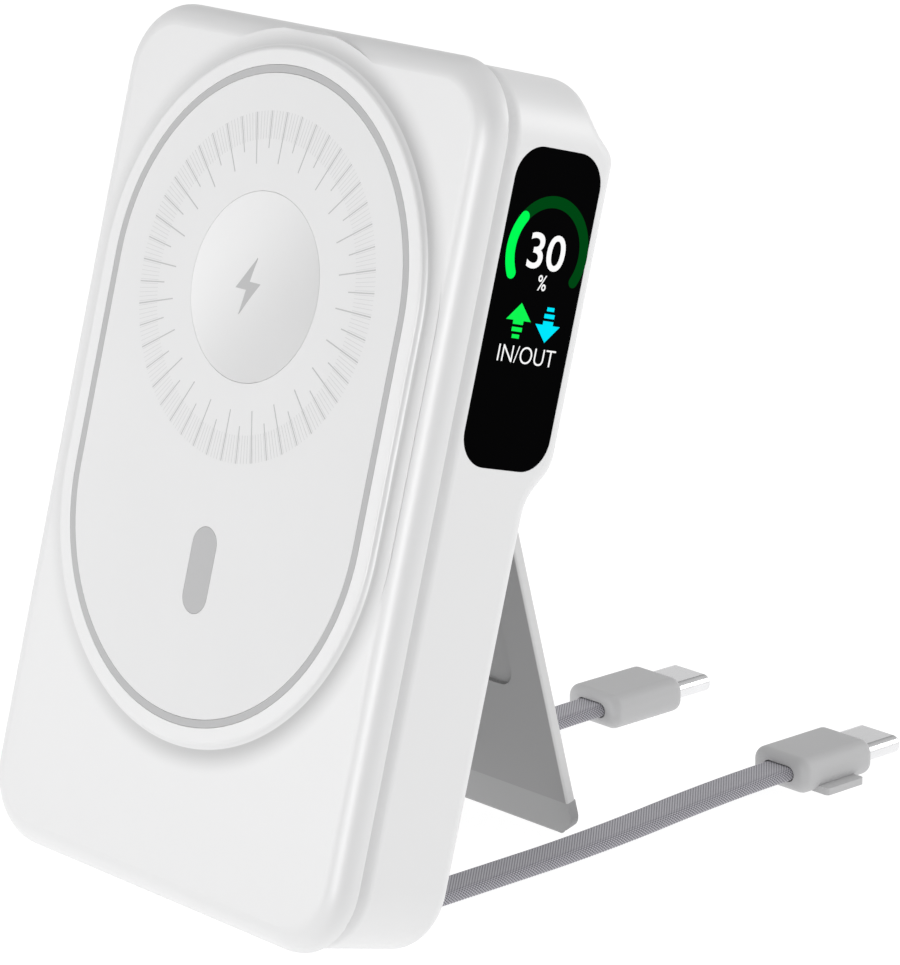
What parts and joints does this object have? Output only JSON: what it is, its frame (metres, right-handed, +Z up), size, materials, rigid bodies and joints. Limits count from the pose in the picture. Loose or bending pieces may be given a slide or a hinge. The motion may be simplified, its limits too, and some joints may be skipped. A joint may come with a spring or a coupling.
{
  "type": "magnetic power bank",
  "caption": "Magnetic wireless power bank leaning on a fold-out leg, with a side display and captive flat charging cords",
  "frame": {"origin": "on the ground, under the middle of the body and its opened leg (cords left out)", "axes": "+Z up, +X to the right of the charging face, +Y towards the back; the charging face looks along -Y and 15.5 degrees up"},
  "size_m": [0.0716, 0.1182, 0.1134],
  "materials": {
    "shell_white": "satin white ABS",
    "pad_white": "soft-touch white",
    "print_grey": "matte grey",
    "screen_black": "glossy black acrylic",
    "lcd": "display module",
    "leg_grey": "satin light grey",
    "soft_grey": "matte grey rubber",
    "plug_grey": "matte grey overmould",
    "cord_grey": "braided grey nylon",
    "steel": "brushed",
    "nickel": "nickel plated",
    "contact_gold": "gold plated",
    "copper": "enamelled copper litz",
    "ferrite": "dark grey sheet",
    "magnet": "nickel plated neodymium",
    "board_green": "solder mask",
    "chip_black": "moulded black",
    "cell_foil": "pouch foil",
    "foam_black": "closed-cell foam"
  },
  "bodies": {
    "bank": {"front_cover": "shell_white", "pad_ring_inlay": "print_grey", "charging_pad": "pad_white", "dome_cap": "pad_white", "bolt_inlay": "print_grey", "alignment_mark": "print_grey", "rear_shell": "shell_white", "display_window": "screen_black", "display_panel": "lcd", "display_board": "board_green", "charging_coil": "copper", "ferrite_sheet": "ferrite", "magnet_ring": "magnet", "alignment_magnet": "magnet", "battery_cell": "cell_foil", "battery_foam": "foam_black", "battery_tape": "foam_black", "main_board": "board_green", "charge_chips": "chip_black", "power_inductors": "ferrite", "board_capacitors": "copper", "board_screws": "steel", "button_switch": "chip_black", "hinge_bracket": "steel", "hinge_pin": "steel", "hinge_washers": "steel", "bracket_screws": "steel", "cable_grommet_left": "soft_grey", "cable_anchor_left": "cord_grey", "cable_left": "cord_grey", "plug_body_left": "plug_grey", "plug_tip_left": "nickel", "plug_tongue_left": "chip_black", "plug_contacts_left": "contact_gold", "cable_grommet_right": "soft_grey", "cable_anchor_right": "cord_grey", "cable_right": "cord_grey", "plug_body_right": "plug_grey", "plug_tip_right": "nickel", "plug_tongue_right": "chip_black", "plug_contacts_right": "contact_gold"},
    "kickstand": {"kickstand_leg": "leg_grey", "kickstand_foot_pad": "soft_grey"},
    "power_button": {"power_button": "shell_white"}
  },
  "joints": [
    {"name": "kickstand_hinge", "type": "hinge", "parent": "bank", "child": "kickstand", "pos_m": [0, 0.01086, 0.07912], "axis": [1, 0, 0], "range_deg": [-30, 0]},
    {"name": "power_button_press", "type": "slide", "parent": "bank", "child": "power_button", "axis": [1, 0, 0], "range_m": [0, 0.0004], "stiffness_N_per_m": 1500, "springref_m": -0.0008}
  ]
}
